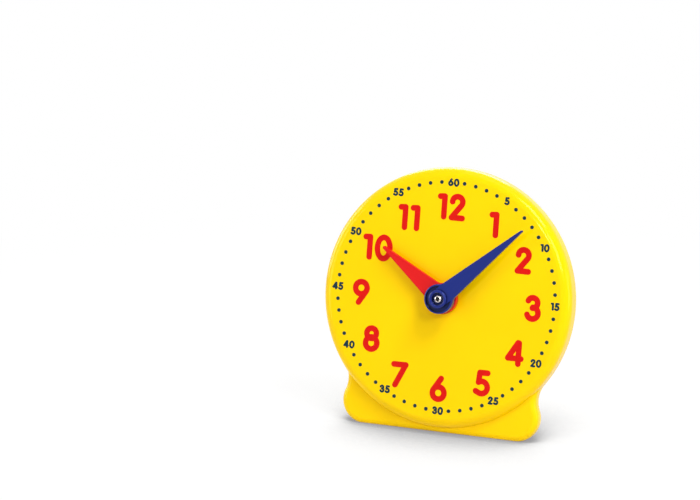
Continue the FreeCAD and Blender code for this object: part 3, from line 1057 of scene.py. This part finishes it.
# ------------------------------------------------------------------ hands
@dataclass(frozen=True)
class HandOutline:
    """A hand that points to twelve: round hub, hollow blends, straight taper, round tip."""

    hub: float
    blend: float
    root: float
    tip: float
    length: float

    def draw(self, bm: bmesh.types.BMesh, depth: float) -> Wire:
        """Draws the outline.

        Args:
            bm: The bmesh to draw in.
            depth: Depth of the wire.

        Returns:
            The loop.
        """
        tip_side = on_dial(self.tip / 2, self.length - self.tip / 2)
        root_side = on_dial(self.root / 2, 0.0)
        along = (tip_side - root_side).normalized()
        outward = on_dial(along.z, -along.x)
        off_line = outward.dot(root_side) + self.blend
        centre = outward * off_line + along * math.sqrt((self.hub + self.blend) ** 2 - off_line**2)
        back = Vector((0.0, depth, 0.0))
        trace = Trace(bm, back + on_dial(0.0, -self.hub))
        trace.arc(back, clock_angle(centre) - 180.0, 44)
        trace.arc(back + centre, clock_angle(-outward) - clock_angle(-centre), 12)
        trace.line(back + tip_side)
        trace.arc(back + on_dial(0.0, self.length - self.tip / 2), -90.0, 6)
        return trace.mirror()

    def plate(self, front: float, back: float, edge: float) -> Solid:
        """The hand as a plate with a rounded front edge."""
        bm = bmesh.new()
        return Solid.prism(bm, self.draw(bm, front), back, edge, 4)

    def disc(self, front: float, back: float) -> Solid:
        """The round hub that carries the plate from behind."""
        return Solid.lathe([
            Corner(0.0, front), Corner(self.hub, front), Corner(self.hub, back, 0.2, 2),
            Corner(0.0, back),
        ], steps=160)


@dataclass
class MinuteHand:
    """The blue hand: flange with a raised rim, rounded boss, recess for its screw."""

    shop: Workshop
    angle: float = 46.9
    outline: HandOutline = HandOutline(7.25, 5.0, 10.2, 1.1, 53.9)
    front: float = -9.5
    back: float = -5.6
    blade: float = 2.2
    edge: float = 0.6
    boss_radius: float = 4.55
    boss_front: float = -11.2
    boss_round: float = 0.95
    recess_radius: float = 3.0
    recess_floor: float = -8.9
    groove_depth: float = 2.4
    groove_rim: float = 0.9
    groove_stop: float = 0.88
    stop_start: float = 1.5
    stop_length: float = 12.0
    shaft_radius: float = 2.55
    shaft_front: float = -7.9
    flat: float = 2.05
    cheek: float = 20.0
    screw: CrossScrew = CrossScrew(1.0, 7.0, 2.15, 1.3, 0.9)
    screw_hole: float = 1.25
    screw_turn: float = 24.0

    def build(self) -> Solid:
        """The whole moulding; its socket keeps the turn of the arbor."""
        plate = self.outline.plate(self.front, self.front + self.blade, self.edge)
        disc = self.outline.disc(self.front + self.blade / 2, self.back)
        rear = self.back - 1.0
        boss = Solid.lathe([
            Corner(0.0, self.boss_front),
            Corner(self.boss_radius, self.boss_front, self.boss_round, 8),
            Corner(self.boss_radius, rear), Corner(0.0, rear),
        ], steps=128)
        before = self.boss_front - 0.4
        recess = Solid.lathe([
            Corner(0.0, before), Corner(self.recess_radius + 0.9, before),
            Corner(self.recess_radius, self.boss_front + 0.5, 0.5, 5),
            Corner(self.recess_radius, self.recess_floor), Corner(0.0, self.recess_floor),
        ], steps=96)
        hand = ((plate - self.groove()) | disc) | boss
        return (hand - recess).turned(self.angle) - self.socket()

    def groove(self) -> Solid:
        """The sunk ring between the boss and the flange's rim; it stops at the blade."""
        inner, outer = self.boss_radius - 0.3, self.outline.hub - self.groove_rim
        before, floor = self.front - 0.5, self.front + self.groove_depth
        ring = Solid.lathe([
            Corner(inner, before), Corner(outer + 0.1, before), Corner(outer, floor, 0.35, 4),
            Corner(inner, floor),
        ], steps=128)
        size = (self.outline.root * self.groove_stop, 4.0, self.stop_length)
        middle = on_dial(0.0, self.stop_start + self.stop_length / 2, self.front)
        return ring - Solid.block(size, middle)

    def socket(self) -> Solid:
        """The hole for the arbor's end, with its two driving flats, and for the screw."""
        bore = Solid.bar(self.shaft_radius, self.shaft_front, 0.0, steps=64)
        cheek = Solid.block((self.cheek,) * 3, on_dial(0.0, self.flat + self.cheek / 2))
        shank = Solid.bar(self.screw_hole, -10.0, self.shaft_front + 1.0, steps=32)
        return ((bore - cheek - cheek.turned(180.0)) | shank).turned(self.angle)

    def make(self) -> None:
        """Builds and dresses the hand and its screw."""
        self.shop.deliver(
            self.build(), "minute_pointer", Body.MINUTE, BLUE, "blue_plastic", ["minute_hand"]
        )
        seat = Matrix.Translation(CLOCKWISE * self.recess_floor)
        screw = self.screw.build().turned(self.screw_turn)
        screw = screw.moved(seat @ Matrix.Rotation(math.pi, 4, "Z"))
        self.shop.deliver(
            screw, "pointer_screw", Body.MINUTE, NICKEL, "bright_screw", ["hand_screw"]
        )


@dataclass
class HourHand:
    """The red hand, pressed on the pipe of the hour wheel."""

    shop: Workshop
    angle: float = 304.7
    outline: HandOutline = HandOutline(7.55, 3.0, 11.2, 1.5, 39.1)
    front: float = -4.4
    back: float = -1.2
    blade: float = 2.0
    edge: float = 0.3
    bore: float = 4.0

    def make(self) -> None:
        """Builds and dresses the hand."""
        plate = self.outline.plate(self.front, self.front + self.blade, self.edge)
        disc = self.outline.disc(self.front + self.blade / 2, self.back)
        bore = Solid.bar(self.bore, self.front - 1.0, self.back + 1.0, steps=96)
        hand = ((plate | disc) - bore).turned(self.angle)
        self.shop.deliver(hand, "hour_pointer", Body.HOUR, RED, "red_plastic", ["hour_hand"])


# ------------------------------------------------------------------ print
@dataclass(frozen=True)
class Pen:
    """The pen that numerals are drawn with, and the film of ink that it leaves."""

    width: float = 2.88
    front: float = -0.045
    back: float = 0.06
    cap_steps: int = 14

    def film(self, bm: bmesh.types.BMesh, wire: Wire) -> Solid:
        """Fills a loop with ink."""
        return Solid.prism(bm, wire, self.back)


@dataclass(frozen=True)
class Run:
    """A straight stroke with round ends."""

    start: Point
    end: Point

    def solid(self, pen: Pen) -> Solid:
        """The stroke as a film of ink."""
        bm = bmesh.new()
        start, end = (on_dial(*point, pen.front) for point in (self.start, self.end))
        way = (end - start).normalized()
        side = on_dial(way.z, -way.x) * (pen.width / 2)
        trace = Trace(bm, start - side).line(end - side).arc(end, 180.0, pen.cap_steps)
        trace.line(start + side).arc(start, 180.0, pen.cap_steps)
        return pen.film(bm, trace.close())


@dataclass(frozen=True)
class Bow:
    """A round stroke with round ends, from a clock angle about its centre through a turn."""

    centre: Point
    radius: float
    start: float
    turn: float

    def solid(self, pen: Pen) -> Solid:
        """The stroke as a film of ink."""
        bm = bmesh.new()
        centre = on_dial(*self.centre, pen.front)
        half = pen.width / 2
        steps = max(8, round(self.turn / 7.0))
        far = centre + by_clock(self.start + self.turn, self.radius)
        near = centre + by_clock(self.start, self.radius)
        trace = Trace(bm, centre + by_clock(self.start, self.radius + half))
        trace.arc(centre, self.turn, steps).arc(far, 180.0, pen.cap_steps)
        trace.arc(centre, -self.turn, steps).arc(near, 180.0, pen.cap_steps)
        return pen.film(bm, trace.close())


@dataclass(frozen=True)
class Loop:
    """A closed stroke: a ring, or an oval where its height differs from its width."""

    centre: Point
    radius: float
    rise: float = 0.0
    steps: int = 56

    def solid(self, pen: Pen) -> Solid:
        """The stroke as a film of ink."""
        bm = bmesh.new()
        upright = Matrix.Rotation(math.pi / 2, 4, "X")
        rings: Wire = []
        for side in (-0.5, 0.5):
            known = set(bm.edges)
            ring = bmesh.ops.create_circle(bm, segments=self.steps, radius=1.0, matrix=upright)
            reach = self.radius + side * pen.width
            bmesh.ops.scale(bm, vec=(reach, 1.0, reach + self.rise), verts=ring["verts"])
            rings += [edge for edge in bm.edges if edge not in known]
        bmesh.ops.translate(bm, vec=on_dial(*self.centre, pen.front), verts=bm.verts[:])
        bmesh.ops.bridge_loops(bm, edges=rings)
        draw_out(bm, CLOCKWISE * (pen.back - pen.front))
        return Solid(bm)


Stroke = Run | Bow | Loop

STROKES: dict[str, tuple[Stroke, ...]] = {
    "0": (Loop((0.0, 0.0), 3.25, 1.93),),
    "1": (Run((-1.2, 4.85), (1.05, 4.97)), Run((1.05, 4.97), (1.05, -4.95))),
    "2": (
        Bow((-0.15, 2.67), 2.6, 270.0, 217.6), Run((1.91, 1.08), (-2.8, -5.03)),
        Run((-2.8, -5.03), (2.65, -5.12)),
    ),
    "3": (
        Bow((-0.17, 2.79), 2.47, 292.0, 248.0), Bow((0.0, -2.15), 2.8, 0.0, 252.0),
        Run((-0.15, 0.32), (0.1, 0.5)),
    ),
    "4": (
        Run((1.45, 5.22), (-3.25, -2.38)), Run((-3.25, -2.38), (3.35, -2.38)),
        Run((2.0, 5.12), (2.0, -4.95)),
    ),
    "5": (
        Run((-1.4, 5.17), (2.55, 5.17)), Run((-1.4, 5.17), (-1.75, 1.0)),
        Bow((-0.17, -1.98), 2.97, 325.0, 240.0), Run((-1.43, -4.67), (-3.05, -3.88)),
    ),
    "6": (Loop((-0.2, -1.93), 3.0), Run((0.85, 5.2), (-2.71, -0.29))),
    "7": (Run((-3.25, 5.12), (2.87, 5.12)), Run((2.87, 5.12), (-2.05, -4.95))),
    "8": (Loop((-0.1, 2.79), 2.5), Loop((0.0, -1.99), 2.96)),
    "9": (Loop((-0.2, 2.12), 3.0), Run((-1.25, -5.0), (2.31, 0.48))),
}


@dataclass
class Numerals:
    """Draws numerals once each and sets them where they are printed."""

    pen: Pen = Pen()
    drawn: dict[str, Solid] = field(default_factory=dict)

    def digit(self, sign: str) -> Solid:
        """One digit, drawn about its own middle.

        Args:
            sign: The digit.

        Returns:
            Its film of ink.
        """
        if sign not in self.drawn:
            first, *others = [stroke.solid(self.pen) for stroke in STROKES[sign]]
            for other in others:
                first = first | other
            self.drawn[sign] = first
        return self.drawn[sign]

    def number(self, text: str, gap: float) -> Solid:
        """A whole number, with its digits a gap apart and its middle at the origin.

        Args:
            text: The digits.
            gap: Room between neighbours.

        Returns:
            The number's film of ink.
        """
        placed, at = [], 0.0
        for sign in text:
            solid = self.digit(sign)
            across = [vert.co.x for vert in solid.mesh.vertices]
            placed.append(solid.moved(Matrix.Translation((at - min(across), 0.0, 0.0))))
            at += max(across) - min(across) + gap
        middle = Matrix.Translation(((gap - at) / 2, 0.0, 0.0))
        return Solid.gathered(solid.moved(middle) for solid in placed)


@dataclass
class DialPrint:
    """Everything printed on the dial: hour numerals, minute numerals and minute dots."""

    shop: Workshop
    numerals: Numerals = field(default_factory=Numerals)
    hour_places: dict[str, Point] = field(default_factory=lambda: {
        "12": (-0.07, 43.67), "1": (22.12, 36.84), "2": (38.38, 20.86), "3": (44.8, -1.73),
        "4": (37.3, -24.07), "5": (21.79, -40.18), "6": (-0.09, -45.14), "7": (-20.79, -40.29),
        "8": (-36.47, -24.13), "9": (-43.55, -1.71), "10": (-36.53, 20.86), "11": (-21.46, 36.84),
    })
    hour_gap: float = 1.12
    register: Point = (0.39, 0.77)
    turn: float = -0.6
    ring_radius: float = 55.7
    minute_share: float = 0.285
    minute_gap: float = 0.5
    minute_pen: Pen = Pen(3.6)
    minute_nudges: dict[int, Point] = field(default_factory=lambda: {
        5: (0.1, 0.5), 10: (0.42, 0.0), 15: (0.13, 0.2), 20: (0.12, 0.0), 25: (0.3, 0.2),
        30: (0.28, 0.0), 35: (0.08, 0.3), 40: (0.25, 0.0), 45: (-0.2, 0.3), 50: (-0.17, 0.07),
        55: (0.08, 0.43), 60: (0.3, -0.07),
    })
    dot_radius: float = 0.94

    def make(self) -> None:
        """Builds and dresses the three prints."""
        pen = self.numerals.pen
        hours = [
            self.numerals.number(text, self.hour_gap).moved(Matrix.Translation(on_dial(*place)))
            for text, place in self.hour_places.items()
        ]
        self.deliver(hours, "hour_numerals", RED_INK, "red_ink")
        small = Matrix.Diagonal((self.minute_share, 1.0, self.minute_share, 1.0))
        bold = Numerals(self.minute_pen)
        minutes = [
            bold.number(str(minute), self.minute_gap)
            .moved(Matrix.Translation(self.mark(minute) + on_dial(*nudge)) @ small)
            for minute, nudge in self.minute_nudges.items()
        ]
        self.deliver(minutes, "minute_numerals", DARK_INK, "dark_ink")
        marks = [self.mark(minute) for minute in range(60) if minute % 5]
        dots = [
            Solid.bar(self.dot_radius, pen.front, pen.back, (mark.x, mark.z), 24) for mark in marks
        ]
        self.deliver(dots, "minute_dots", DARK_INK, "dark_ink")

    def mark(self, minute: int) -> Vector:
        """Where a minute stands on the ring."""
        return by_clock(minute * 360.0 / 60, self.ring_radius)

    def deliver(self, films: Sequence[Solid], name: str, ink: Finish, slot: str) -> None:
        """Sets one colour of the print on the dial, a little off its middle as the printer left it.

        Args:
            films: The films of ink, about the middle of the print.
            name: Name of the piece.
            ink: Its finish.
            slot: Its material slot.
        """
        turn = Matrix.Rotation(math.radians(self.turn), 4, CLOCKWISE)
        film = Solid.gathered(films).moved(Matrix.Translation(on_dial(*self.register)) @ turn)
        self.shop.deliver(film, name, Body.CASE, ink, slot, smooth=False)


# ------------------------------------------------------------------ works inside the case
@dataclass
class Works:
    """The wheels, plate and pins behind the dial, which keep their shapes and get a finish."""

    nodes: dict[str, bpy.types.Object]
    finishes: dict[str, Finish] = field(default_factory=lambda: {
        "gear_plate": ACETAL, "minute_arbor": ACETAL, "idler_gear": ACETAL, "hour_wheel": ACETAL,
        "plate_screws": ZINC, "idler_pin": STEEL, "friction_washer": SPRING,
    })

    def dress(self) -> None:
        """Gives each piece its finish."""
        for name, finish in self.finishes.items():
            mesh = self.nodes[name].data
            mesh.materials.clear()
            mesh.materials.append(finish.material())
            LOG.info("%s: dressed", name)


# ------------------------------------------------------------------ studio
@dataclass(frozen=True)
class Softbox:
    """A white area light that looks at the clock."""

    name: str
    azimuth: float
    elevation: float
    width: float
    height: float
    power: float
    distance: float = 1.2

    def hang(self, target: Vector) -> None:
        """Hangs the light and aims it.

        Args:
            target: The point that it looks at.
        """
        turn, rise = math.radians(self.azimuth), math.radians(self.elevation)
        ahead = math.cos(rise)
        way = Vector((math.sin(turn) * ahead, -math.cos(turn) * ahead, math.sin(rise)))
        lamp = bpy.data.lights.new(self.name, "AREA")
        lamp.shape = "RECTANGLE"
        lamp.size, lamp.size_y = self.width, self.height
        lamp.energy = self.power
        hung = put_in_scene(self.name, lamp)
        hung.location = target + way * self.distance
        hung.rotation_euler = (-way).to_track_quat("-Z", "Y").to_euler()


@dataclass
class Studio:
    """Pale floor, soft light and the camera."""

    target: Vector = field(default_factory=lambda: Vector((0.0, 0.0, 0.067)))
    ambient: float = 0.06
    floor_radius: float = 5.0
    floor_gap: float = 0.0001
    bounce: float = 0.7
    # The next four paint a soft shadow onto the floor's glow round the clock, through ambient
    # occlusion.
    contact: float = 0.12
    contact_edge: float = 0.55
    contact_gain: float = 4.4
    contact_tone: Colour = (0.30, 0.31, 0.34)
    glow: float = 0.9
    glow_reach: Point = (0.3, 0.15)
    lens: float = 164.85
    sensor: float = 36.0
    clip: Point = (0.05, 50.0)
    camera_place: Vector = field(default_factory=lambda: Vector((0.49802, -1.4252, 0.46478)))
    camera_turn: Vector = field(default_factory=lambda: Vector((75.9918, -0.5635, 21.2174)))
    lights: tuple[Softbox, ...] = (
        Softbox("key_high", 60.0, 57.0, 0.38, 0.38, 8.6),
        Softbox("key_low", 46.0, 31.0, 0.38, 0.38, 5.3),
        Softbox("spot", 12.0, 29.0, 0.1, 0.1, 1.9),
        Softbox("fill", -50.0, 9.0, 0.5, 0.5, 2.6),
        Softbox("right", 90.0, 8.0, 0.5, 0.5, 1.8),
        Softbox("left", -92.0, 14.0, 0.6, 0.6, 5.4),
        Softbox("back", 200.0, 36.0, 0.8, 0.6, 9.5),
        Softbox("top", 0.0, 86.0, 0.6, 0.6, 1.2),
    )

    def make(self) -> None:
        """Builds the whole studio."""
        self.lay_floor()
        self.light_world()
        for light in self.lights:
            light.hang(self.target)
        self.set_camera()
        bpy.context.scene.view_settings.view_transform = "Standard"

    def lay_floor(self) -> None:
        """Lays a round floor just under the clock."""
        bm = bmesh.new()
        bmesh.ops.create_circle(bm, cap_ends=True, segments=96, radius=self.floor_radius)
        bmesh.ops.translate(bm, vec=(0.0, 0.0, -self.floor_gap), verts=bm.verts[:])
        mesh = bpy.data.meshes.new("floor")
        bm.to_mesh(mesh)
        bm.free()
        put_in_scene("floor", mesh)
        mesh.materials.append(self.floor_paint())

    def floor_paint(self) -> bpy.types.Material:
        """Matt paint that is white to the eye, with a painted shadow darkening its glow near the
        clock, and fades into an even white far from the clock.
        """
        paint = bpy.data.materials.new("floor_paint")
        paint.use_nodes = True
        sheet = NodeSheet(paint.node_tree)
        seen = self.seen(sheet)
        matt = sheet.node("ShaderNodeBsdfDiffuse", None, {
            "Color": sheet.blend(seen, (self.bounce,) * 3, (1.0, 1.0, 1.0)),
        })
        # Painted shadow: ambient occlusion darkens the floor's glow towards a grey tone near the
        # clock.
        near = sheet.node(
            "ShaderNodeAmbientOcclusion", {"samples": 12}, {"Distance": self.contact}, "AO"
        )
        near = (near - self.contact_edge) * self.contact_gain
        glow = sheet.blend(near, self.contact_tone, (1.0, 1.0, 1.0))
        even = sheet.node("ShaderNodeEmission", None, {"Color": glow})
        length = {"operation": "LENGTH"}
        away = sheet.node("ShaderNodeVectorMath", length, {0: sheet.place()}, "Value")
        share = (away.above(*self.glow_reach) * (1.0 - self.glow) + self.glow) * seen
        surface = sheet.node("ShaderNodeMixShader", None, {0: share, 1: matt, 2: even})
        sheet.finish("ShaderNodeOutputMaterial", surface)
        return paint

    @staticmethod
    def seen(sheet: NodeSheet) -> Link:
        """1 for what the camera sees, straight, in gloss or through glass."""
        rays = [
            sheet.node("ShaderNodeLightPath", output=name)
            for name in ("Is Camera Ray", "Is Glossy Ray", "Is Transmission Ray")
        ]
        return rays[0] + rays[1] + rays[2]

    def light_world(self) -> None:
        """White where it is seen, a soft grey where it lights."""
        world = bpy.data.worlds.new("studio")
        world.use_nodes = True
        sheet = NodeSheet(world.node_tree)
        seen = self.seen(sheet)
        strength = self.ambient + seen * (1.0 - self.ambient)
        light = sheet.node(
            "ShaderNodeBackground", None, {"Color": (1.0, 1.0, 1.0, 1.0), "Strength": strength}
        )
        sheet.finish("ShaderNodeOutputWorld", light)
        bpy.context.scene.world = world

    def set_camera(self) -> None:
        """Sets the camera up."""
        data = bpy.data.cameras.new("camera")
        data.lens = self.lens
        data.sensor_width = self.sensor
        data.clip_start, data.clip_end = self.clip
        camera = put_in_scene("camera", data)
        camera.location = self.camera_place
        camera.rotation_euler = [math.radians(angle) for angle in self.camera_turn]
        bpy.context.scene.camera = camera


def main() -> None:
    """Builds the clock round its frame, and the studio round the clock."""
    logging.basicConfig(level=logging.INFO, format="%(name)s: %(message)s")
    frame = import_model()
    turning = next(joint for joint in frame["joints"] if joint["name"] == "minute_turn")
    shop = Workshop(DialFrame.from_joint(turning))
    for maker in (FrontShell, RearShell, CaseScrews, HourHand, MinuteHand, DialPrint):
        maker(shop).make()
    Works(frame["nodes"]).dress()
    Studio().make()


if __name__ == "__main__":
    main()
